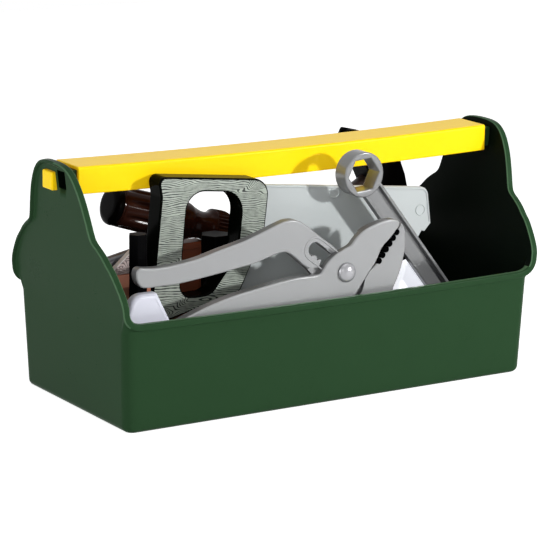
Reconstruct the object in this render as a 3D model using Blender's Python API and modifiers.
"""A child's open tool tote with a bar handle and the toy tools that stand in it.

Metres, +Z up. The origin is the middle of the tub's underside, +X runs along the tub
and +Y to its back. Every tool stands in its own upright slab, so it lifts straight out.
"""

import math

import bmesh
import bpy
from mathutils import Matrix, Vector

# Fits
GAP = 0.0003
OVERRUN = 0.004
WELD = 0.00001

# Tub
BASE_LENGTH = 0.290
BASE_WIDTH = 0.134
RIM_HEIGHT = 0.068
RIM_LENGTH = 0.2946
RIM_WIDTH = 0.1396
TUB_WALL = 0.0022
TUB_CORNER_RADIUS = 0.007
TUB_FLOOR_FILLET = 0.004
LIP_OUT = 0.0026
LIP_TALL = 0.0042
LIP_EDGE_RADIUS = 0.0012

# End panels, above the rim
PANEL_HEIGHT = 0.156
PANEL_LEAN = 0.117
PANEL_FLANGE = 0.0024
PANEL_EDGE_RADIUS = 0.0010
EAR_HALF_WIDTH = 0.0727
WAIST_HEIGHT = 0.1145
WAIST_HALF_WIDTH = 0.0398

# Bar handle
BAR_LENGTH = 0.2984
BAR_WIDTH = 0.0295
BAR_HEIGHT = 0.0168
BAR_BELOW_PANEL_TOP = 0.0026
BAR_WALL = 0.0020
BAR_BOW = 0.0018
BAR_STATIONS = 12
BAR_EDGE_RADIUS = 0.0014
TAB_WIDTH = 0.0130
TAB_HEIGHT = 0.0112
TAB_FROM_BAR_BOTTOM = 0.0006
TAB_FROM_BAR_BACK = 0.0008
TAB_PROUD = 0.0022
TAB_EDGE_RADIUS = 0.0010
BOSS_WALL = 0.0016
BOSS_REACH = 0.0085
BOSS_FROM_MIDDLE = 0.0016

# Saw
SAW_HANDLE_WIDTH = 0.0796
SAW_HANDLE_HEIGHT = 0.0910
SAW_HANDLE_THICKNESS = 0.0142
SAW_HANDLE_EDGE_RADIUS = 0.0016
SAW_TILT = math.radians(6.3)
SAW_MIDDLE_X = -0.0660
SAW_TO_BAR = 0.0007
SAW_BLADE_THICKNESS = 0.0032
SAW_BLADE_LENGTH = 0.1420
SAW_BLADE_HEEL = 0.0740
SAW_BLADE_TIP = 0.0260
SAW_BLADE_ROOT = 0.0120
SAW_BLADE_BELOW_TOP = 0.0045
SAW_BLADE_CORNER_RADIUS = 0.0070
SAW_BLADE_TIP_SLANT = 0.0040
SAW_TOOTH_DEPTH = 0.0050
SAW_TEETH = 12
SAW_TOOTH_START_SHARE = 0.35
SAW_TOOTH_VALLEY_SHARE = 0.36
SAW_TO_CORNER_BOARD = 0.0057

# Water-pump pliers
PLIERS_FRONT_Y = -0.0660
PLIERS_REACH = 0.1475
PLIERS_PLATE = 0.0046
PLIERS_HANDLE_THICKNESS = 0.0072
PLIERS_LAP_RADIUS = 0.0265
PLIERS_EDGE_RADIUS = 0.0009
PLIERS_PIVOT_X = 0.0090
PLIERS_RIVET_RADIUS = 0.0062
PLIERS_PIN_RADIUS = 0.0040
PLIERS_RIVET_HEIGHT = 0.0034
PLIERS_SLOT_WIDTH = 0.0092
PLIERS_SLOT_LENGTH = 0.0320
PLIERS_SLOT_TURN = math.radians(37)
PLIERS_TIP_SHARE = 0.60
PLIERS_OVER_WHITE = 0.0027

# Ring spanner
SPANNER_RING_RADIUS = 0.0143
SPANNER_RING_DEPTH = 0.0120
SPANNER_HEX_RADIUS = 0.0112
SPANNER_HEX_TURN = math.radians(5)
SPANNER_SHANK_WIDTH = 0.0140
SPANNER_SHANK_DEPTH = 0.0080
SPANNER_SHANK_BEAD = 0.0028
SPANNER_WEB_RECESS = 0.0024
SPANNER_JAW_RADIUS = 0.0150
SPANNER_JAW_OPENING = 0.0130
SPANNER_LENGTH = 0.1505
SPANNER_SLOPE = math.radians(52.2)
SPANNER_FOOT_X = 0.1267
SPANNER_FRONT_Y = -0.0460

# Hammer
HAMMER_HEAD_LENGTH = 0.0800
HAMMER_HEAD_HEIGHT = 0.0300
HAMMER_HEAD_THICKNESS = 0.0215
HAMMER_HEAD_EDGE_RADIUS = 0.0009
HAMMER_FACE_RADIUS = 0.0118
HAMMER_FACE_LENGTH = 0.0120
HAMMER_HANDLE_LENGTH = 0.2080
HAMMER_HANDLE_RADIUS = 0.0074
HAMMER_GRIP_RADIUS = 0.0098
HAMMER_SLOPE = math.radians(30.2)
HAMMER_EYE_X = 0.1130
HAMMER_EYE_Z = 0.1120
HAMMER_Y = 0.0540
HAMMER_GRIP_START_SHARE = 0.42
HAMMER_GRIP_TAPER = 0.0096
HAMMER_SPLIT_WIDTH = 0.0050
HAMMER_SPLIT_START_SHARE = 0.36

# Screwdriver
DRIVER_GRIP_RADIUS = 0.0132
DRIVER_GRIP_LENGTH = 0.0900
DRIVER_CAP_LENGTH = 0.0100
DRIVER_FLUTES = 8
DRIVER_FLUTE_RADIUS = 0.0030
DRIVER_BLADE_RADIUS = 0.0036
DRIVER_BLADE_LENGTH = 0.0800
DRIVER_BLADE_IN_GRIP = 0.0200
DRIVER_SLOPE = math.radians(17)
DRIVER_BUTT_X = -0.1072
DRIVER_BUTT_Z = 0.1190
DRIVER_Y = 0.0310
DRIVER_CAP_ROUND_SHARE = 0.60
DRIVER_FLUTE_END_SHARE = 0.56
DRIVER_TIP_LENGTH = 0.0108
DRIVER_TIP_SHARE = 0.33

# Boards and blocks
BOARD_EDGE_RADIUS = 0.0010
BLOCK_HEIGHT = 0.0527
BLOCK_DEPTH = 0.0148
BLOCK_RIGHT_X = -0.0290
BLOCK_TO_CORNER_BOARD = 0.0025
BLOCK_FRONT_Y = -0.0305
TALL_BOARD_WIDTH = 0.0300
TALL_BOARD_DEPTH = 0.0130
TALL_BOARD_RIGHT_X = -0.0385
TALL_BOARD_SETTLE = 0.0008
CORNER_BOARD_DEPTH = 0.0200
CORNER_BOARD_HEIGHT = 0.0853
CORNER_BOARD_CUT_HEIGHT = 0.0060
CORNER_BOARD_CUT_DEPTH = 0.0070
CORNER_BOARD_LEFT_X = -0.1365
CORNER_BOARD_MIDDLE_Y = -0.0255
WEDGE_LEFT_INSET = 0.0020
WEDGE_RIGHT_INSET = 0.0065
WEDGE_DEPTH = 0.0044
WEDGE_LOW = 0.0018
WEDGE_SLOPE = math.radians(39.9)
ROD_RADIUS = 0.0040
ROD_OVERHANG = 0.0020
ROD_SLOPE = math.radians(11.2)
ROD_Y = -0.0193
ROD_REST_LOW = 0.0008
HEX_BAR_RADIUS = 0.0100
HEX_BAR_HEIGHT = 0.0970
HEX_BAR_X = -0.0470
HEX_BAR_Y = -0.0020
PEG_RADIUS = 0.0056
PEG_HEIGHT = 0.1133
PEG_X = -0.1252
PEG_Y = -0.0434

# White blocks
WHITE_EDGE_RADIUS = 0.0016
WHITE_LEFT_WIDTH = 0.0376
WHITE_LEFT_HEIGHT = 0.0822
WHITE_LEFT_DEPTH = 0.0080
WHITE_LEFT_LEFT_X = -0.1416
WHITE_RIGHT_WIDTH = 0.0230
WHITE_RIGHT_HEIGHT = 0.0715
WHITE_RIGHT_DEPTH = 0.0068
WHITE_RIGHT_MIDDLE_X = 0.0873
WHITE_RIGHT_BACK_Y = -0.0262

# How finely round shapes are divided
ROUND_STEPS = 32
SLIM_ROUND_STEPS = 16
FLUTE_STEPS = 8
FILLET_STEPS = 4
FINE_ANGLE = math.radians(30)
FILLET_SIDE_SHARE = 0.49

# Places that follow from the sizes
FLOOR_TOP = TUB_WALL
STANDING = FLOOR_TOP + GAP
BAR_TOP = PANEL_HEIGHT - BAR_BELOW_PANEL_TOP
BAR_FRONT_Y = -BAR_WIDTH / 2
BAR_END_X = BAR_LENGTH / 2
PLIERS_BACK_PLATE_Y = PLIERS_FRONT_Y + PLIERS_PLATE + GAP
PLIERS_BACK_Y = PLIERS_BACK_PLATE_Y + PLIERS_PLATE
SAW_BACK_Y = BAR_FRONT_Y - SAW_TO_BAR
SAW_MIDDLE_Y = SAW_BACK_Y - SAW_HANDLE_THICKNESS / 2
CORNER_BOARD_RIGHT_X = SAW_MIDDLE_X - SAW_HANDLE_WIDTH / 2 - SAW_TO_CORNER_BOARD
BLOCK_LEFT_X = CORNER_BOARD_RIGHT_X + BLOCK_TO_CORNER_BOARD
WEDGE_LEFT_X = CORNER_BOARD_LEFT_X + WEDGE_LEFT_INSET
WEDGE_RIGHT_X = CORNER_BOARD_RIGHT_X - WEDGE_RIGHT_INSET
ROD_MIDDLE_X = (CORNER_BOARD_LEFT_X + CORNER_BOARD_RIGHT_X) / 2
ROD_LENGTH = CORNER_BOARD_RIGHT_X - CORNER_BOARD_LEFT_X + 2 * ROD_OVERHANG


# Scene and materials


def clear_scene():
    """Remove everything that the scene holds."""
    for item in list(bpy.data.objects):
        bpy.data.objects.remove(item, do_unlink=True)


def new_collection(name):
    """A collection of the scene with this name."""
    collection = bpy.data.collections.new(name)
    bpy.context.scene.collection.children.link(collection)
    return collection


def plastic(name, color, roughness, metallic=0.0):
    """A plain moulded finish of one colour."""
    material = bpy.data.materials.new(name)
    material.use_nodes = True
    shader = material.node_tree.nodes["Principled BSDF"]
    shader.inputs["Base Color"].default_value = (*color, 1.0)
    shader.inputs["Roughness"].default_value = roughness
    shader.inputs["Metallic"].default_value = metallic
    return material


def object_of(name, mesh, material=None):
    """A part's object, or a cutter where no material is given."""
    item = bpy.data.objects.new(name, mesh)
    if material is None:
        cutters.objects.link(item)
        item.hide_render = True
        item.display_type = "WIRE"
    else:
        parts.objects.link(item)
        mesh.materials.append(material)
    return item


def shade(item):
    """Smooth shading with sharp edges kept where the surface turns."""
    item.data.shade_smooth()
    item.data.set_sharp_from_angle(angle=FINE_ANGLE)
    return item


def place(item, x, y, z, turn=0.0):
    """Put an object at a place, turned about Y so that +X swings up by turn."""
    item.location = (x, y, z)
    item.rotation_euler = (0.0, -turn, 0.0)
    return item


def boolean(item, other, operation):
    """Cut an object by a cutter, or join one to it."""
    modifier = item.modifiers.new(other.name, "BOOLEAN")
    modifier.operation = operation
    modifier.object = other
    modifier.solver = "EXACT"
    return modifier


# Shapes


def mesh_from(make):
    """A mesh that the given function fills through bmesh."""
    data = bmesh.new()
    make(data)
    mesh = bpy.data.meshes.new("mesh")
    data.to_mesh(mesh)
    data.free()
    return mesh


def box(name, low, high, material=None):
    """A box between two corners, in the object's own axes."""
    low, high = Vector(low), Vector(high)

    def make(data):
        bmesh.ops.create_cube(data, size=1.0)
        bmesh.ops.scale(data, vec=high - low, verts=data.verts)
        bmesh.ops.translate(data, vec=(low + high) / 2, verts=data.verts)

    return object_of(name, mesh_from(make), material)


def cylinder(name, radius, low_y, high_y, material=None, steps=ROUND_STEPS, turn=0.0):
    """A cylinder or prism along Y, centred on the object's own axis."""

    def make(data):
        bmesh.ops.create_cone(
            data,
            cap_ends=True,
            segments=steps,
            radius1=radius,
            radius2=radius,
            depth=high_y - low_y,
            matrix=Matrix.Translation((0, (low_y + high_y) / 2, 0))
            @ Matrix.Rotation(turn, 4, "Y")
            @ Matrix.Rotation(math.pi / 2, 4, "X")
            @ Matrix.Rotation(math.pi / 2, 4, "Z"),
        )

    return object_of(name, mesh_from(make), material)


def fillet(before, corner, after, radius):
    """Points of the arc that rounds one corner of an outline, no longer than its sides allow."""
    to_before, to_after = before - corner, after - corner
    half_angle = to_before.angle(to_after) / 2
    longest = FILLET_SIDE_SHARE * min(to_before.length, to_after.length)
    reach = min(radius / math.tan(half_angle), longest)
    radius = reach * math.tan(half_angle)
    start = corner + to_before.normalized() * reach
    end = corner + to_after.normalized() * reach
    bisector = (to_before.normalized() + to_after.normalized()).normalized()
    middle = corner + bisector * (radius / math.sin(half_angle))
    first = math.atan2(start.y - middle.y, start.x - middle.x)
    last = math.atan2(end.y - middle.y, end.x - middle.x)
    sweep = math.remainder(last - first, 2 * math.pi)
    points = []
    for step in range(FILLET_STEPS + 1):
        angle = first + sweep * step / FILLET_STEPS
        points.append(middle + Vector((math.cos(angle), math.sin(angle))) * radius)
    return points


def rounded(corners):
    """An outline through corners (x, z, radius), each rounded by its radius."""
    points = []
    for index, (x, z, radius) in enumerate(corners):
        corner = Vector((x, z))
        before = Vector(corners[index - 1][:2])
        after = Vector(corners[(index + 1) % len(corners)][:2])
        if radius > 0:
            points.extend(fillet(before, corner, after, radius))
        else:
            points.append(corner)
    return points


def scaled(shares, width, height):
    """Corners (x, z, radius) from shares of a width, a height and the height again."""
    return [(u * width, v * height, r * height) for u, v, r in shares]


def plate(name, outlines, front_y, back_y, edge_radius=0.0, material=None):
    """A flat piece in the XZ plane: the first outline is its edge, the others are holes."""
    curve = bpy.data.curves.new(name + "_outline", "CURVE")
    curve.dimensions = "2D"
    curve.fill_mode = "BOTH"
    curve.extrude = (back_y - front_y) / 2 - edge_radius
    curve.bevel_depth = edge_radius
    curve.bevel_resolution = 1
    curve.offset = -edge_radius
    for outline in outlines:
        spline = curve.splines.new("POLY")
        spline.points.add(len(outline) - 1)
        for point, corner in zip(spline.points, outline):
            point.co = (corner[0], corner[1], 0.0, 1.0)
        spline.use_cyclic_u = True
    guide = bpy.data.objects.new(name + "_guide", curve)
    cutters.objects.link(guide)
    guide.rotation_euler = (math.pi / 2, 0.0, 0.0)
    guide.location = (0.0, (front_y + back_y) / 2, 0.0)
    bpy.context.view_layer.update()
    graph = bpy.context.evaluated_depsgraph_get()
    mesh = bpy.data.meshes.new_from_object(guide.evaluated_get(graph))
    mesh.transform(guide.matrix_world)
    bpy.data.objects.remove(guide)
    data = bmesh.new()
    data.from_mesh(mesh)
    bmesh.ops.remove_doubles(data, verts=data.verts, dist=WELD)
    bmesh.ops.recalc_face_normals(data, faces=data.faces)
    data.to_mesh(mesh)
    data.free()
    mesh.materials.clear()
    return object_of(name, mesh, material)


def turned(name, profile, material, steps=ROUND_STEPS):
    """A solid turned about the X axis from (along, radius) points, tip to butt."""
    mesh = bpy.data.meshes.new(name)
    points = [(radius, 0.0, -along) for along, radius in profile]
    edges = [(index, index + 1) for index in range(len(points) - 1)]
    mesh.from_pydata(points, edges, [])
    item = object_of(name, mesh, material)
    screw = item.modifiers.new("turn", "SCREW")
    screw.axis = "Z"
    screw.steps = steps
    screw.render_steps = steps
    screw.use_merge_vertices = True
    screw.merge_threshold = WELD
    bpy.context.view_layer.update()
    graph = bpy.context.evaluated_depsgraph_get()
    solid = bpy.data.meshes.new_from_object(item.evaluated_get(graph))
    item.modifiers.clear()
    data = bmesh.new()
    data.from_mesh(solid)
    bmesh.ops.remove_doubles(data, verts=data.verts, dist=WELD)
    bmesh.ops.recalc_face_normals(data, faces=data.faces)
    bmesh.ops.rotate(data, cent=(0, 0, 0), matrix=Matrix.Rotation(-math.pi / 2, 3, "Y"), verts=data.verts)
    data.to_mesh(solid)
    data.free()
    item.data = solid
    return item


def bevelled(item, width, segments=2):
    """Round an object's own edges."""
    modifier = item.modifiers.new("edges", "BEVEL")
    modifier.width = width
    modifier.segments = segments
    modifier.limit_method = "ANGLE"
    modifier.angle_limit = FINE_ANGLE
    return item


# Tub


def panel_inner_x(z):
    """Distance from the middle to an end panel's inner face at a height over the rim."""
    return RIM_LENGTH / 2 - TUB_WALL + PANEL_LEAN * (z - RIM_HEIGHT)


def panel_outer_x(z):
    """Distance from the middle to an end panel's outer face at a height over the rim."""
    return panel_inner_x(z) + TUB_WALL


# Half widths of the end panel's edge and the heights where it has them, as shares.
# The ear runs from below the rim to the waist, the head from the waist to the top.
EAR_SHARES = (
    (0.880, -0.11),
    (0.925, -0.07),
    (0.965, 0.00),
    (0.990, 0.09),
    (1.000, 0.18),
    (0.990, 0.27),
    (0.960, 0.37),
    (0.905, 0.50),
    (0.825, 0.66),
    (0.735, 0.79),
    (0.640, 0.90),
)
HEAD_SHARES = (
    (0.955, 0.08),
    (0.900, 0.28),
    (0.835, 0.46),
    (0.755, 0.62),
    (0.660, 0.76),
    (0.570, 0.865),
    (0.450, 0.94),
    (0.280, 0.985),
    (0.090, 1.0),
)


def panel_edge():
    """Points (y, z) of one side of the end panel's edge, from below the rim to the top."""
    ear_rise = WAIST_HEIGHT - RIM_HEIGHT
    head_rise = PANEL_HEIGHT - WAIST_HEIGHT
    points = [(EAR_HALF_WIDTH * wide, RIM_HEIGHT + ear_rise * high) for wide, high in EAR_SHARES]
    points.append((WAIST_HALF_WIDTH, WAIST_HEIGHT))
    points += [(WAIST_HALF_WIDTH * wide, WAIST_HEIGHT + head_rise * high) for wide, high in HEAD_SHARES]
    return points


def panel_outline(inset):
    """The end panel's edge as (across, up from the rim), drawn in by an inset."""
    steep = math.hypot(1.0, PANEL_LEAN)
    side = [Vector((y, (z - RIM_HEIGHT) * steep)) for y, z in panel_edge()]
    edge = side + [Vector((-point.x, point.y)) for point in reversed(side)]
    drawn = []
    for index, point in enumerate(edge):
        before, after = edge[index - 1], edge[(index + 1) % len(edge)]
        first, second = (point - before).normalized(), (after - point).normalized()
        inward = Vector((-first.y, first.x)) + Vector((-second.y, second.x))
        drawn.append(point + inward.normalized() * inset)
    return drawn


def panel_piece(name, side, inset, near, far, edge_radius=0.0):
    """A leaning slab of an end panel, from near to far outward of its inner face."""
    slab = plate(name, [panel_outline(inset)], near, far, edge_radius)
    lean = math.atan(PANEL_LEAN)
    slab.data.transform(Matrix.Rotation(-side * math.pi / 2, 4, "Z"))
    slab.data.transform(Matrix.Rotation(side * lean, 4, "Y"))
    slab.data.transform(Matrix.Translation((side * (RIM_LENGTH / 2 - TUB_WALL), 0, RIM_HEIGHT)))
    return slab


def rounded_rectangle(half_length, half_width, radius, z):
    """A ring of points round a rectangle with rounded corners, at a height."""
    corners = [
        (half_length, -half_width, radius),
        (half_length, half_width, radius),
        (-half_length, half_width, radius),
        (-half_length, -half_width, radius),
    ]
    return [Vector((point[0], point[1], z)) for point in rounded(corners)]


def lofted(name, rings, material=None):
    """A closed body through rings of points, bottom first."""

    def make(data):
        rows = [[data.verts.new(point) for point in ring] for ring in rings]
        data.faces.new(list(reversed(rows[0])))
        data.faces.new(rows[-1])
        for below, above in zip(rows, rows[1:]):
            for index in range(len(below)):
                follow = (index + 1) % len(below)
                data.faces.new((below[index], below[follow], above[follow], above[index]))

    return object_of(name, mesh_from(make), material)


def bowl(name, inset, bottom, top, material=None):
    """The drafted bowl of the tub, drawn in by an inset, with a filleted foot."""
    radius = TUB_CORNER_RADIUS - inset
    foot = TUB_FLOOR_FILLET
    rings = []
    for step in range(FILLET_STEPS + 1):
        angle = math.pi / 2 * step / FILLET_STEPS
        back = foot * (1 - math.sin(angle)) + inset
        height = bottom + foot * (1 - math.cos(angle))
        corner = max(radius - foot * (1 - math.sin(angle)), WELD * ROUND_STEPS)
        rings.append(rounded_rectangle(BASE_LENGTH / 2 - back, BASE_WIDTH / 2 - back, corner, height))
    grow = (top - bottom) / (RIM_HEIGHT - bottom)
    half_length = BASE_LENGTH / 2 + (RIM_LENGTH - BASE_LENGTH) / 2 * grow - inset
    half_width = BASE_WIDTH / 2 + (RIM_WIDTH - BASE_WIDTH) / 2 * grow - inset
    rings.append(rounded_rectangle(half_length, half_width, radius, top))
    return lofted(name, rings, material)


def make_tub(material):
    """The moulded tub: floor, drafted walls, tall flanged end panels and a lip along each side."""
    tub = bowl("tub", 0.0, 0.0, RIM_HEIGHT, material)
    boolean(tub, bowl("tub_inside", TUB_WALL, FLOOR_TOP, RIM_HEIGHT + OVERRUN), "DIFFERENCE")
    lip_end = RIM_LENGTH / 2 - TUB_WALL / 2
    lip_inner = RIM_WIDTH / 2 - TUB_WALL
    for side, name in ((-1, "front"), (1, "back")):
        low_y, high_y = sorted((side * lip_inner, side * (RIM_WIDTH / 2 + LIP_OUT)))
        lip_bottom, lip_top = RIM_HEIGHT - LIP_TALL, RIM_HEIGHT + GAP
        lip = box(f"{name}_lip", (-lip_end, low_y, lip_bottom), (lip_end, high_y, lip_top))
        bevelled(lip, LIP_EDGE_RADIUS)
        boolean(tub, lip, "UNION")
    bar_bottom = BAR_TOP - BAR_HEIGHT
    boss_front = BAR_FRONT_Y + BAR_WALL + GAP
    boss_back = -BOSS_FROM_MIDDLE
    boss_bottom = bar_bottom + BAR_WALL + GAP
    boss_top = BAR_TOP - BAR_WALL - GAP
    tab_back = BAR_WIDTH / 2 - TAB_FROM_BAR_BACK
    tab_low = bar_bottom + TAB_FROM_BAR_BOTTOM
    for side, name in ((-1, "left"), (1, "right")):
        far = TUB_WALL + PANEL_FLANGE
        slab = panel_piece(f"{name}_panel", side, 0.0, 0.0, far, PANEL_EDGE_RADIUS)
        boolean(tub, slab, "UNION")
        hollow = panel_piece(f"{name}_panel_hollow", side, TUB_WALL, TUB_WALL, far + OVERRUN)
        boolean(tub, hollow, "DIFFERENCE")
        root = panel_inner_x(boss_bottom) + TUB_WALL / 2
        tip = BAR_END_X - BOSS_REACH
        low_x, high_x = sorted((side * root, side * tip))
        boss = box(f"{name}_boss", (low_x, boss_front, boss_bottom), (high_x, boss_back, boss_top))
        boolean(tub, boss, "UNION")
        low_x, high_x = sorted((side * (panel_outer_x(BAR_TOP) + OVERRUN), side * (tip + BOSS_WALL)))
        pocket = box(
            f"{name}_boss_pocket",
            (low_x, boss_front + BOSS_WALL, boss_bottom + BOSS_WALL),
            (high_x, boss_back - BOSS_WALL, boss_top - BOSS_WALL),
        )
        boolean(tub, pocket, "DIFFERENCE")
        low_x, high_x = sorted((side * (panel_outer_x(BAR_TOP) + OVERRUN), side * (BAR_END_X + GAP)))
        window = box(
            f"{name}_window",
            (low_x, tab_back - TAB_WIDTH - GAP, tab_low - GAP),
            (high_x, tab_back + GAP, tab_low + TAB_HEIGHT + GAP),
        )
        boolean(tub, window, "DIFFERENCE")
    return tub


# Bar handle


def bar_drop(x):
    """How far the bowed bar hangs below its ends."""
    return BAR_BOW * (1 - (x / BAR_END_X) ** 2)


def bowed_box(name, half_length, half_width, bottom, top, material=None):
    """A box that follows the bar's bow."""

    def make(data):
        bmesh.ops.create_cube(data, size=1.0)
        bmesh.ops.scale(data, vec=(2 * half_length, 2 * half_width, top - bottom), verts=data.verts)
        bmesh.ops.translate(data, vec=(0, 0, (top + bottom) / 2), verts=data.verts)
        for step in range(1, BAR_STATIONS):
            x = half_length * (2 * step / BAR_STATIONS - 1)
            geometry = data.verts[:] + data.edges[:] + data.faces[:]
            bmesh.ops.bisect_plane(data, geom=geometry, plane_co=(x, 0, 0), plane_no=(1, 0, 0))
        for vertex in data.verts:
            vertex.co.z -= bar_drop(vertex.co.x)

    return object_of(name, mesh_from(make), material)


def make_handle_bar(material):
    """The bar handle: a bowed channel, open below, with a snap tab at each end."""
    half_width = BAR_WIDTH / 2
    bottom = BAR_TOP - BAR_HEIGHT
    bar = bowed_box("handle_bar", BAR_END_X, half_width, bottom, BAR_TOP, material)
    bevelled(bar, BAR_EDGE_RADIUS)
    inner_x, inner_width, inner_top = BAR_END_X - BAR_WALL, half_width - BAR_WALL, BAR_TOP - BAR_WALL
    hollow = bowed_box("bar_hollow", inner_x, inner_width, bottom - OVERRUN, inner_top)
    boolean(bar, hollow, "DIFFERENCE")
    tab_back = half_width - TAB_FROM_BAR_BACK
    tab_low = bottom + TAB_FROM_BAR_BOTTOM
    for side, name in ((-1, "left"), (1, "right")):
        tab_end = panel_outer_x(tab_low + TAB_HEIGHT) + TAB_PROUD
        low_x, high_x = sorted((side * (BAR_END_X - BAR_WALL / 2), side * tab_end))
        tab_front, tab_top = tab_back - TAB_WIDTH, tab_low + TAB_HEIGHT
        tab = box(f"{name}_tab", (low_x, tab_front, tab_low), (high_x, tab_back, tab_top))
        bevelled(tab, TAB_EDGE_RADIUS)
        boolean(bar, tab, "UNION")
        low_x, high_x = sorted((side * (BAR_END_X + OVERRUN), side * (BAR_END_X - BAR_WALL - GAP)))
        mouth = box(
            f"{name}_mouth",
            (low_x, -half_width + BAR_WALL, bottom - OVERRUN),
            (high_x, GAP - BOSS_FROM_MIDDLE, BAR_TOP - BAR_WALL),
        )
        boolean(bar, mouth, "DIFFERENCE")
    return bar


# Saw

SAW_HANDLE_SHARES = (
    (-0.528, 0.467, 0.055),
    (-0.480, 0.330, 0.080),
    (-0.480, -0.380, 0.160),
    (-0.420, -0.533, 0.070),
    (0.302, -0.313, 0.080),
    (0.472, 0.088, 0.140),
    (0.472, 0.467, 0.120),
)
SAW_HOLE_SHARES = (
    (-0.254, 0.374, 0.130),
    (0.238, 0.374, 0.150),
    (0.238, -0.045, 0.160),
    (0.040, -0.320, 0.100),
    (-0.236, -0.352, 0.080),
)


def saw_handle_outline():
    """Corners of the saw handle's edge about the handle's middle."""
    return scaled(SAW_HANDLE_SHARES, SAW_HANDLE_WIDTH, SAW_HANDLE_HEIGHT)


def saw_lowest():
    """How far the tilted handle's edge reaches below its middle."""
    points = rounded(saw_handle_outline())
    return min(point.y * math.cos(SAW_TILT) - point.x * math.sin(SAW_TILT) for point in points)


def saw_middle_z():
    """Height of the saw handle's middle when its foot stands on the block."""
    return block_top() + GAP - saw_lowest()


def block_top():
    """Height of the top of the block that carries the saw."""
    return STANDING + BLOCK_HEIGHT


def place_saw(item):
    """Lay a saw piece in the saw's tilted frame."""
    return place(item, SAW_MIDDLE_X, 0.0, saw_middle_z(), -SAW_TILT)


def make_saw_handle(material):
    """The saw's closed grip, with a slot for the blade."""
    front_y = SAW_BACK_Y - SAW_HANDLE_THICKNESS
    outlines = [
        rounded(saw_handle_outline()),
        rounded(scaled(SAW_HOLE_SHARES, SAW_HANDLE_WIDTH, SAW_HANDLE_HEIGHT)),
    ]
    handle = plate("saw_handle", outlines, front_y, SAW_BACK_Y, SAW_HANDLE_EDGE_RADIUS, material)
    root = saw_blade_start() - GAP
    half_slot = SAW_BLADE_THICKNESS / 2 + GAP
    slot = box(
        "saw_slot",
        (root, SAW_MIDDLE_Y - half_slot, -SAW_HANDLE_HEIGHT),
        (SAW_HANDLE_WIDTH, SAW_MIDDLE_Y + half_slot, saw_blade_top() + GAP),
    )
    slot.parent = handle
    boolean(handle, slot, "DIFFERENCE")
    return place_saw(handle)


def saw_blade_start():
    """Where the blade's root begins, inside the handle."""
    return SAW_HANDLE_SHARES[-1][0] * SAW_HANDLE_WIDTH - SAW_BLADE_ROOT


def saw_blade_top():
    """Height of the blade's back over the handle's middle."""
    return SAW_HANDLE_SHARES[-1][1] * SAW_HANDLE_HEIGHT - SAW_BLADE_BELOW_TOP


def saw_blade_outline():
    """The blade's outline: its straight back, its slanted tip and its teeth."""
    start = saw_blade_start()
    end = start + SAW_BLADE_LENGTH
    top = saw_blade_top()
    heel = top - SAW_BLADE_HEEL
    tip_bottom = top - SAW_BLADE_TIP
    tip = (end - SAW_BLADE_TIP_SLANT, top, SAW_BLADE_CORNER_RADIUS)
    points = rounded([(start, top, 0.0), tip, (end, tip_bottom, 0.0)])
    pitch_x = (end - start) / (SAW_TEETH + 1)
    pitch_z = (tip_bottom - heel) / (SAW_TEETH + 1)
    for tooth in range(SAW_TEETH):
        x = end - pitch_x * (tooth + SAW_TOOTH_START_SHARE)
        z = tip_bottom - pitch_z * (tooth + SAW_TOOTH_START_SHARE)
        points.append(Vector((x, z - SAW_TOOTH_DEPTH)))
        points.append(Vector((x - pitch_x / 2, z + SAW_TOOTH_DEPTH * SAW_TOOTH_VALLEY_SHARE)))
    points.append(Vector((start, heel)))
    return points


def make_saw_blade(material):
    """The toothed blade, rooted in the handle."""
    half = SAW_BLADE_THICKNESS / 2
    front_y, back_y = SAW_MIDDLE_Y - half, SAW_MIDDLE_Y + half
    blade = plate("saw_blade", [saw_blade_outline()], front_y, back_y, 0.0, material)
    return place_saw(blade)


# Pliers

# Both halves are drawn about the pivot, in shares of the handles' reach.
PLIERS_FRONT_SHARES = (
    (-0.970, -0.175, 0.030),
    (-0.955, -0.255, 0.040),
    (-0.680, -0.165, 0.300),
    (-0.300, -0.105, 0.300),
    (-0.060, -0.150, 0.120),
    (0.065, -0.120, 0.050),
    (0.150, 0.036, 0.100),
    (0.262, 0.165, 0.010),
    (0.268, 0.185, 0.020),
    (0.225, 0.206, 0.060),
    (0.100, 0.180, 0.120),
    (0.020, 0.108, 0.060),
    (-0.090, 0.062, 0.080),
    (-0.130, 0.006, 0.060),
    (-0.300, 0.002, 0.300),
    (-0.560, -0.036, 0.300),
    (-0.800, -0.112, 0.300),
)
PLIERS_BACK_SHARES = (
    (-0.998, 0.049, 0.040),
    (-0.850, 0.040, 0.200),
    (-0.600, 0.060, 0.400),
    (-0.330, 0.118, 0.120),
    (-0.270, 0.108, 0.060),
    (-0.160, 0.016, 0.200),
    (-0.050, -0.150, 0.120),
    (0.120, -0.190, 0.100),
    (0.265, -0.090, 0.150),
    (0.302, 0.060, 0.150),
    (0.282, 0.172, 0.014),
    (0.262, 0.150, 0.010),
    (0.135, -0.006, 0.050),
    (0.084, 0.012, 0.040),
    (-0.140, 0.178, 0.150),
    (-0.262, 0.258, 0.080),
    (-0.470, 0.190, 0.400),
    (-0.700, 0.132, 0.300),
    (-0.880, 0.112, 0.060),
    (-0.960, 0.145, 0.040),
    (-1.002, 0.140, 0.040),
)


def pliers_seat():
    """Height of the pivot over the place where the upper handle's end rests."""
    points = rounded(scaled(PLIERS_BACK_SHARES, PLIERS_REACH, PLIERS_REACH))
    return min(point.y for point in points if point.x < -PLIERS_REACH * PLIERS_TIP_SHARE)


def pliers_pivot_z():
    """Height of the pliers' pivot."""
    return white_left_top() + PLIERS_OVER_WHITE - pliers_seat()


def white_left_top():
    """Height of the white block under the pliers' upper handle."""
    return STANDING + WHITE_LEFT_HEIGHT


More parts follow.
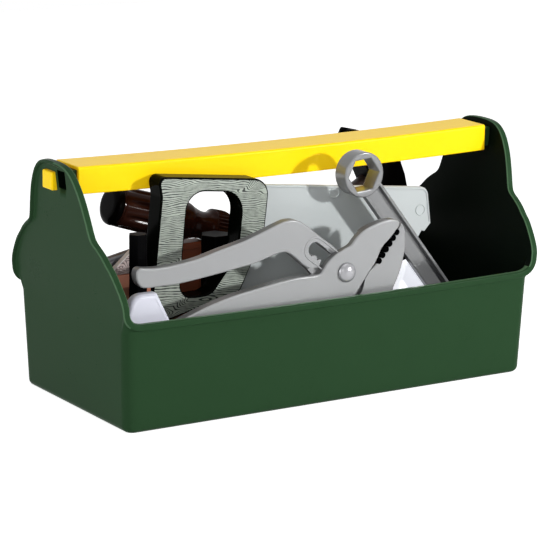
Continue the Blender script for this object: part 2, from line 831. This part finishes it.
def pliers_half(name, shares, front_y, back_y, lap_reach, material):
    """One half of the pliers, with its lap at the pivot cut away."""
    outline = rounded(scaled(shares, PLIERS_REACH, PLIERS_REACH))
    half = plate(name, [outline], front_y, back_y, PLIERS_EDGE_RADIUS, material)
    lap = cylinder(name + "_lap", PLIERS_LAP_RADIUS, *lap_reach)
    lap.parent = half
    boolean(half, lap, "DIFFERENCE")
    hole = cylinder(name + "_pin_hole", PLIERS_PIN_RADIUS + GAP, front_y - OVERRUN, back_y + OVERRUN)
    hole.parent = half
    boolean(half, hole, "DIFFERENCE")
    return place(half, PLIERS_PIVOT_X, 0.0, pliers_pivot_z())


def make_pliers_front(material):
    """The half with the lower handle and the upper jaw."""
    back_y = PLIERS_FRONT_Y + PLIERS_HANDLE_THICKNESS
    lap = (PLIERS_FRONT_Y + PLIERS_PLATE, back_y + OVERRUN)
    return pliers_half("pliers_front_half", PLIERS_FRONT_SHARES, PLIERS_FRONT_Y, back_y, lap, material)


def make_pliers_back(material):
    """The half with the upper handle and the lower jaw, with the slot it shifts along."""
    front_y = PLIERS_BACK_Y - PLIERS_HANDLE_THICKNESS
    lap = (front_y - OVERRUN, PLIERS_BACK_PLATE_Y)
    half = pliers_half("pliers_back_half", PLIERS_BACK_SHARES, front_y, PLIERS_BACK_Y, lap, material)
    end = PLIERS_SLOT_WIDTH / 2
    far = -PLIERS_SLOT_LENGTH
    stadium = [(far, -end, end), (end, -end, end), (end, end, end), (far, end, end)]
    slot = plate("pliers_slot", [rounded(stadium)], front_y - OVERRUN, PLIERS_BACK_Y + OVERRUN)
    slot.rotation_euler = (0.0, PLIERS_SLOT_TURN, 0.0)
    slot.parent = half
    boolean(half, slot, "DIFFERENCE")
    return half


def make_pliers_rivet(material):
    """The rivet: a domed head in front, a pin through both halves and a flat head behind."""
    front = PLIERS_FRONT_Y - GAP
    back = PLIERS_BACK_Y + GAP
    profile = [(back + PLIERS_PLATE / 2, 0.0), (back + PLIERS_PLATE / 2, PLIERS_RIVET_RADIUS)]
    profile += [(back, PLIERS_RIVET_RADIUS), (back, PLIERS_PIN_RADIUS), (front, PLIERS_PIN_RADIUS)]
    for step in range(FILLET_STEPS):
        angle = math.pi / 2 * step / FILLET_STEPS
        along = front - PLIERS_RIVET_HEIGHT * math.sin(angle)
        profile.append((along, PLIERS_RIVET_RADIUS * math.cos(angle)))
    profile.append((front - PLIERS_RIVET_HEIGHT, 0.0))
    rivet = turned("pliers_rivet", profile, material)
    rivet.data.transform(Matrix.Rotation(math.pi / 2, 4, "Z"))
    return place(rivet, PLIERS_PIVOT_X, 0.0, pliers_pivot_z())


# Ring spanner


def make_ring_spanner(material):
    """The ring spanner: a deep ring with a hexagon, an I-shaped shank and an open jaw at its foot."""
    middle_y = SPANNER_FRONT_Y + SPANNER_RING_DEPTH / 2
    ring_back = SPANNER_FRONT_Y + SPANNER_RING_DEPTH
    shank_front = middle_y - SPANNER_SHANK_DEPTH / 2
    shank_back = middle_y + SPANNER_SHANK_DEPTH / 2
    half = SPANNER_SHANK_WIDTH / 2
    spanner = cylinder("ring_spanner", SPANNER_RING_RADIUS, SPANNER_FRONT_Y, ring_back, material)
    root = SPANNER_RING_RADIUS / 2 + SPANNER_HEX_RADIUS / 2
    shank = box("spanner_shank", (root, shank_front, -half), (SPANNER_LENGTH, shank_back, half))
    jaw = cylinder("spanner_jaw", SPANNER_JAW_RADIUS, shank_front, shank_back)
    jaw.location.x = SPANNER_LENGTH
    hexagon = cylinder(
        "spanner_hexagon",
        SPANNER_HEX_RADIUS,
        SPANNER_FRONT_Y - OVERRUN,
        ring_back + OVERRUN,
        steps=6,
        turn=SPANNER_HEX_TURN + SPANNER_SLOPE,
    )
    mouth = box(
        "spanner_mouth",
        (SPANNER_LENGTH - SPANNER_JAW_OPENING / 2, shank_front - OVERRUN, -SPANNER_JAW_OPENING / 2),
        (SPANNER_LENGTH + SPANNER_JAW_RADIUS + OVERRUN, shank_back + OVERRUN, SPANNER_JAW_OPENING / 2),
    )
    for joined in (shank, jaw):
        boolean(spanner, joined, "UNION")
    web_start = SPANNER_RING_RADIUS + SPANNER_SHANK_BEAD
    web_end = SPANNER_LENGTH - SPANNER_JAW_RADIUS - SPANNER_SHANK_BEAD
    web_half = half - SPANNER_SHANK_BEAD
    for name, near, far in (
        ("spanner_front_web", shank_front - OVERRUN, shank_front + SPANNER_WEB_RECESS),
        ("spanner_back_web", shank_back - SPANNER_WEB_RECESS, shank_back + OVERRUN),
    ):
        web = box(name, (web_start, near, -web_half), (web_end, far, web_half))
        boolean(spanner, web, "DIFFERENCE")
        web.parent = spanner
    for cut in (hexagon, mouth):
        boolean(spanner, cut, "DIFFERENCE")
    for piece in (shank, jaw, hexagon, mouth):
        piece.parent = spanner
    foot_z = STANDING + SPANNER_JAW_RADIUS
    ring_x = SPANNER_FOOT_X - SPANNER_LENGTH * math.cos(SPANNER_SLOPE)
    return place(spanner, ring_x, 0.0, foot_z + SPANNER_LENGTH * math.sin(SPANNER_SLOPE), -SPANNER_SLOPE)


# Hammer

# The head's outline about its eye: along the handle away from the grip, then up to the claw.
HAMMER_HEAD_SHARES = (
    (0.40, -0.290, 0.030),
    (0.50, -0.080, 0.050),
    (0.50, 0.080, 0.100),
    (0.34, 0.280, 0.200),
    (0.08, 0.430, 0.200),
    (-0.26, 0.590, 0.030),
    (-0.42, 0.560, 0.030),
    (-0.36, 0.400, 0.200),
    (-0.48, 0.160, 0.060),
    (-0.50, -0.080, 0.050),
    (-0.40, -0.290, 0.030),
)


def hammer_frame(item):
    """Lay a hammer piece in the hammer's tilted frame, its origin at the eye."""
    return place(item, HAMMER_EYE_X, HAMMER_Y, HAMMER_EYE_Z, HAMMER_SLOPE)


def make_hammer_head(material):
    """The hammer's head: a claw above, a round face below and an eye for the handle."""
    half = HAMMER_HEAD_THICKNESS / 2
    corners = scaled(HAMMER_HEAD_SHARES, HAMMER_HEAD_HEIGHT, HAMMER_HEAD_LENGTH)
    head = plate("hammer_head", [rounded(corners)], -half, half, 0.0, material)
    cheek_end = HAMMER_HEAD_SHARES[0][1] * HAMMER_HEAD_LENGTH
    face = cylinder("hammer_face", HAMMER_FACE_RADIUS, 0.0, HAMMER_FACE_LENGTH)
    face.rotation_euler = (-math.pi / 2, 0.0, 0.0)
    face.location.z = cheek_end + HAMMER_HEAD_EDGE_RADIUS
    boolean(head, face, "UNION")
    eye = cylinder("hammer_eye", HAMMER_HANDLE_RADIUS + GAP, -HAMMER_HEAD_HEIGHT, HAMMER_HEAD_HEIGHT)
    eye.rotation_euler = (0.0, 0.0, math.pi / 2)
    boolean(head, eye, "DIFFERENCE")
    split = box(
        "hammer_split",
        (-HAMMER_HEAD_HEIGHT, -HAMMER_SPLIT_WIDTH / 2, HAMMER_HEAD_LENGTH * HAMMER_SPLIT_START_SHARE),
        (HAMMER_HEAD_HEIGHT, HAMMER_SPLIT_WIDTH / 2, HAMMER_HEAD_LENGTH),
    )
    boolean(head, split, "DIFFERENCE")
    for piece in (face, eye, split):
        piece.parent = head
    return hammer_frame(head)


def make_hammer_handle(material):
    """The hammer's handle, through the eye and down to the floor."""
    top = HAMMER_HEAD_HEIGHT / 2
    grip_start = top - HAMMER_HANDLE_LENGTH * HAMMER_GRIP_START_SHARE
    foot = hammer_handle_foot()
    chamfer = HAMMER_GRIP_RADIUS - HAMMER_HANDLE_RADIUS
    profile = [
        (top, 0.0),
        (top, HAMMER_HANDLE_RADIUS),
        (grip_start, HAMMER_HANDLE_RADIUS),
        (grip_start - HAMMER_GRIP_TAPER, HAMMER_GRIP_RADIUS),
        (foot + chamfer, HAMMER_GRIP_RADIUS),
        (foot, HAMMER_HANDLE_RADIUS),
        (foot, 0.0),
    ]
    return hammer_frame(turned("hammer_handle", profile, material))


def hammer_handle_foot():
    """Where the handle ends, along its own axis, so that its lower edge stands on the floor."""
    chamfer = HAMMER_GRIP_RADIUS - HAMMER_HANDLE_RADIUS
    lowest = HAMMER_GRIP_RADIUS * math.cos(HAMMER_SLOPE) - chamfer * math.sin(HAMMER_SLOPE)
    return -(HAMMER_EYE_Z - STANDING - lowest) / math.sin(HAMMER_SLOPE)


# Screwdriver


def driver_underside(left, right):
    """The lowest height of the tilted grip between two places along the tub."""
    length = DRIVER_GRIP_LENGTH - DRIVER_CAP_LENGTH
    heights = []
    for (start, wide), (end, narrow) in zip(DRIVER_GRIP_SHARES, DRIVER_GRIP_SHARES[1:]):
        for step in range(FILLET_STEPS + 1):
            share = step / FILLET_STEPS
            along = DRIVER_CAP_LENGTH + length * (start + (end - start) * share)
            radius = DRIVER_GRIP_RADIUS * (wide + (narrow - wide) * share)
            x = DRIVER_BUTT_X + along * math.cos(DRIVER_SLOPE) - radius * math.sin(DRIVER_SLOPE)
            if left - BOARD_EDGE_RADIUS < x < right + BOARD_EDGE_RADIUS:
                axis_z = DRIVER_BUTT_Z - along * math.sin(DRIVER_SLOPE)
                heights.append(axis_z - radius * math.cos(DRIVER_SLOPE))
    return min(heights)


def driver_frame(item):
    """Lay a screwdriver piece in its tilted frame, its origin at the butt."""
    return place(item, DRIVER_BUTT_X, DRIVER_Y, DRIVER_BUTT_Z, -DRIVER_SLOPE)


# The grip's shape behind the cap: shares of its length, then of its radius.
DRIVER_GRIP_SHARES = (
    (0.0, 0.97),
    (0.30, 1.0),
    (0.58, 0.96),
    (0.72, 0.68),
    (0.80, 0.64),
    (0.88, 0.90),
    (0.97, 0.90),
    (1.0, 0.70),
)


def make_driver_cap(material):
    """The plain butt cap of the screwdriver."""
    seam = DRIVER_CAP_LENGTH - GAP
    radius = DRIVER_GRIP_RADIUS * DRIVER_GRIP_SHARES[0][1]
    profile = [(seam, 0.0), (seam, radius)]
    for step in range(1, FILLET_STEPS + 1):
        angle = math.pi / 2 * step / FILLET_STEPS
        round_off = DRIVER_CAP_LENGTH * DRIVER_CAP_ROUND_SHARE
        profile.append((round_off * (1 - math.sin(angle)), radius - round_off * (1 - math.cos(angle))))
    profile.append((0.0, 0.0))
    return driver_frame(turned("screwdriver_cap", profile, material))


def make_driver_grip(material):
    """The fluted grip, with a waist and a collar before the blade."""
    length = DRIVER_GRIP_LENGTH - DRIVER_CAP_LENGTH
    end = DRIVER_GRIP_LENGTH
    bore = DRIVER_BLADE_RADIUS + GAP
    bottom = end - DRIVER_BLADE_IN_GRIP - GAP
    profile = [(bottom, 0.0), (bottom, bore), (end, bore)]
    for share, wide in reversed(DRIVER_GRIP_SHARES):
        profile.append((DRIVER_CAP_LENGTH + length * share, DRIVER_GRIP_RADIUS * wide))
    profile.append((DRIVER_CAP_LENGTH, 0.0))
    grip = turned("screwdriver_grip", profile, material)
    flute_end = DRIVER_CAP_LENGTH + length * DRIVER_FLUTE_END_SHARE
    flute_start = DRIVER_CAP_LENGTH + DRIVER_FLUTE_RADIUS
    for index in range(DRIVER_FLUTES):
        angle = math.pi * (2 * index + 1) / DRIVER_FLUTES
        name = f"driver_flute_{index}"
        flute = cylinder(name, DRIVER_FLUTE_RADIUS, flute_start, flute_end, steps=FLUTE_STEPS)
        reach = DRIVER_GRIP_RADIUS + DRIVER_FLUTE_RADIUS / 2
        flute.rotation_euler = (0.0, 0.0, -math.pi / 2)
        flute.location = (0.0, reach * math.cos(angle), reach * math.sin(angle))
        flute.parent = grip
        boolean(grip, flute, "DIFFERENCE")
    return driver_frame(grip)


def make_driver_blade(material):
    """The round blade of the screwdriver, ground flat at its tip."""
    start = DRIVER_GRIP_LENGTH - DRIVER_BLADE_IN_GRIP
    end = DRIVER_GRIP_LENGTH + DRIVER_BLADE_LENGTH
    profile = [
        (end, 0.0),
        (end, DRIVER_BLADE_RADIUS * DRIVER_TIP_SHARE),
        (end - DRIVER_TIP_LENGTH, DRIVER_BLADE_RADIUS),
        (start, DRIVER_BLADE_RADIUS),
        (start, 0.0),
    ]
    return driver_frame(turned("screwdriver_blade", profile, material, SLIM_ROUND_STEPS))


# Boards, blocks and pegs


def standing_box(name, left, right, front, back, bottom, top, material):
    """A block with slightly rounded edges."""
    item = box(name, (left, front, bottom), (right, back, top), material)
    return bevelled(item, BOARD_EDGE_RADIUS)


def make_block(material):
    """The block under the saw's grip."""
    left, right = BLOCK_LEFT_X, BLOCK_RIGHT_X
    front, back = BLOCK_FRONT_Y, BLOCK_FRONT_Y + BLOCK_DEPTH
    return standing_box("wood_block", left, right, front, back, STANDING, block_top(), material)


def make_tall_board(material):
    """The board on end that carries the screwdriver's neck."""
    right = TALL_BOARD_RIGHT_X
    left = right - TALL_BOARD_WIDTH
    top = driver_underside(left, right) + TALL_BOARD_SETTLE - GAP
    front = DRIVER_Y - TALL_BOARD_DEPTH / 2
    back = front + TALL_BOARD_DEPTH
    return standing_box("tall_board", left, right, front, back, STANDING, top, material)


def corner_board_top():
    """Height of the board that stands in the tub's front left corner."""
    return STANDING + CORNER_BOARD_HEIGHT


def make_corner_board(material):
    """The board on end in the tub's left corner."""
    left, right = CORNER_BOARD_LEFT_X, CORNER_BOARD_RIGHT_X
    front = CORNER_BOARD_MIDDLE_Y - CORNER_BOARD_DEPTH / 2
    back = front + CORNER_BOARD_DEPTH
    top = corner_board_top()
    board = standing_box("corner_board", left, right, front, back, STANDING, top, material)
    reach = math.hypot(CORNER_BOARD_CUT_DEPTH, CORNER_BOARD_CUT_HEIGHT) + OVERRUN
    tall = OVERRUN + CORNER_BOARD_CUT_HEIGHT
    slope = box("corner_board_cut", (left - OVERRUN, -OVERRUN, 0.0), (right + OVERRUN, reach, tall))
    slope.location = (0.0, front, top - CORNER_BOARD_CUT_HEIGHT)
    slope.rotation_euler = (math.atan2(CORNER_BOARD_CUT_HEIGHT, CORNER_BOARD_CUT_DEPTH), 0.0, 0.0)
    boolean(board, slope, "DIFFERENCE")
    low = top - WELD
    outline = [(left, low), (right, low), (right, rod_rest(right)), (left, rod_rest(left))]
    rest = plate("rod_rest", [outline], ROD_Y - ROD_RADIUS, back)
    boolean(board, rest, "UNION")
    return board


def rod_rest(x):
    """Height of the sloping rest under the rod at a place along the tub."""
    return corner_board_top() + ROD_REST_LOW + (x - CORNER_BOARD_LEFT_X) * math.tan(ROD_SLOPE)


def wedge_top(x):
    """Height of the wedge's slope at a place along the tub."""
    return corner_board_top() + GAP + WEDGE_LOW + (x - WEDGE_LEFT_X) * math.tan(WEDGE_SLOPE)


def make_wedge(material):
    """The grained wedge on the corner board, in front of the rod."""
    low = corner_board_top() + GAP
    left, right = WEDGE_LEFT_X, WEDGE_RIGHT_X
    outline = [(left, low), (right, low), (right, wedge_top(right)), (left, wedge_top(left))]
    back = ROD_Y - ROD_RADIUS - GAP
    return plate("grained_wedge", [outline], back - WEDGE_DEPTH, back, 0.0, material)


def make_rod(material):
    """The short dark rod that lies on the board's sloping rest."""
    half = ROD_LENGTH / 2
    profile = [(half, 0.0), (half, ROD_RADIUS), (-half, ROD_RADIUS), (-half, 0.0)]
    rod = turned("grey_rod", profile, material, SLIM_ROUND_STEPS)
    axis_over_rest = (ROD_RADIUS + GAP) / math.cos(ROD_SLOPE)
    return place(rod, ROD_MIDDLE_X, ROD_Y, rod_rest(ROD_MIDDLE_X) + axis_over_rest, ROD_SLOPE)


def upright(name, radius, height, x, y, material):
    """A hexagonal bar that stands on the floor, with softened edges."""

    def make(data):
        bmesh.ops.create_cone(
            data, cap_ends=True, segments=6, radius1=radius, radius2=radius, depth=height
        )
        bmesh.ops.translate(data, vec=(0, 0, height / 2), verts=data.verts)

    bar = object_of(name, mesh_from(make), material)
    bar.location = (x, y, STANDING)
    return bevelled(bar, BOARD_EDGE_RADIUS)


# White blocks, in shares of width and height from their lower left corners
WHITE_LEFT_SHARES = (
    (0.09, 0.0, 0.02),
    (1.0, 0.0, 0.02),
    (1.0, 0.58, 0.10),
    (0.83, 0.76, 0.30),
    (0.56, 1.0, 0.03),
    (0.06, 1.0, 0.12),
    (0.0, 0.80, 0.12),
    (0.0, 0.66, 0.06),
    (0.09, 0.60, 0.06),
)
WHITE_RIGHT_SHARES = (
    (0.0, 0.0, 0.02),
    (1.0, 0.0, 0.02),
    (1.0, 1.0, 0.05),
    (0.0, 1.0, 0.05),
)


def white_block(name, shares, left, width, height, front, back, material):
    """A white block with a rounded top."""
    corners = [(left + u * width, STANDING + v * height, r * height) for u, v, r in shares]
    return plate(name, [rounded(corners)], front, back, WHITE_EDGE_RADIUS, material)


def make_white_left(material):
    """The thin white block behind the pliers' lower handle."""
    front = PLIERS_FRONT_Y + PLIERS_HANDLE_THICKNESS + GAP
    back = front + WHITE_LEFT_DEPTH
    size = (WHITE_LEFT_LEFT_X, WHITE_LEFT_WIDTH, WHITE_LEFT_HEIGHT)
    return white_block("white_block_left", WHITE_LEFT_SHARES, *size, front, back, material)


def make_white_right(material):
    """The white block between the ring spanner and the saw's blade."""
    back = WHITE_RIGHT_BACK_Y
    left = WHITE_RIGHT_MIDDLE_X - WHITE_RIGHT_WIDTH / 2
    front = back - WHITE_RIGHT_DEPTH
    size = (left, WHITE_RIGHT_WIDTH, WHITE_RIGHT_HEIGHT)
    return white_block("white_block_right", WHITE_RIGHT_SHARES, *size, front, back, material)


clear_scene()
parts = new_collection("toy_tool_box")
cutters = new_collection("cutters")

make_tub(plastic("green_plastic", (0.035, 0.085, 0.040), 0.35))
make_handle_bar(plastic("yellow_plastic", (1.0, 0.72, 0.02), 0.30))
make_saw_handle(plastic("saw_grip_plastic", (0.030, 0.040, 0.032), 0.22))
make_saw_blade(plastic("blade_plastic", (0.52, 0.54, 0.55), 0.35))
make_pliers_front(plastic("front_half_plastic", (0.47, 0.47, 0.48), 0.35))
make_pliers_back(plastic("back_half_plastic", (0.44, 0.44, 0.45), 0.35))
make_pliers_rivet(plastic("rivet_plastic", (0.38, 0.38, 0.39), 0.30))
make_ring_spanner(plastic("spanner_plastic", (0.46, 0.46, 0.49), 0.30))
make_hammer_head(plastic("hammer_head_plastic", (0.010, 0.010, 0.012), 0.30))
make_hammer_handle(plastic("hammer_handle_plastic", (0.110, 0.040, 0.025), 0.35))
make_driver_cap(plastic("driver_cap_plastic", (0.012, 0.010, 0.010), 0.20))
make_driver_grip(plastic("driver_grip_plastic", (0.050, 0.018, 0.010), 0.15))
make_driver_blade(plastic("driver_blade_plastic", (0.40, 0.40, 0.42), 0.30))
make_block(plastic("block_plastic", (0.110, 0.045, 0.030), 0.45))
make_tall_board(plastic("tall_board_plastic", (0.110, 0.045, 0.030), 0.45))
make_corner_board(plastic("corner_board_plastic", (0.120, 0.050, 0.032), 0.45))
make_wedge(plastic("grained_plastic", (0.300, 0.260, 0.250), 0.45))
make_rod(plastic("rod_plastic", (0.030, 0.030, 0.035), 0.35))
hex_black = plastic("hex_bar_plastic", (0.012, 0.012, 0.014), 0.30)
peg_black = plastic("peg_plastic", (0.010, 0.010, 0.011), 0.30)
upright("hex_bar", HEX_BAR_RADIUS, HEX_BAR_HEIGHT, HEX_BAR_X, HEX_BAR_Y, hex_black)
upright("black_peg", PEG_RADIUS, PEG_HEIGHT, PEG_X, PEG_Y, peg_black)
make_white_left(plastic("left_white_plastic", (0.80, 0.80, 0.84), 0.35))
make_white_right(plastic("right_white_plastic", (0.80, 0.80, 0.84), 0.35))

for piece in parts.objects:
    shade(piece)
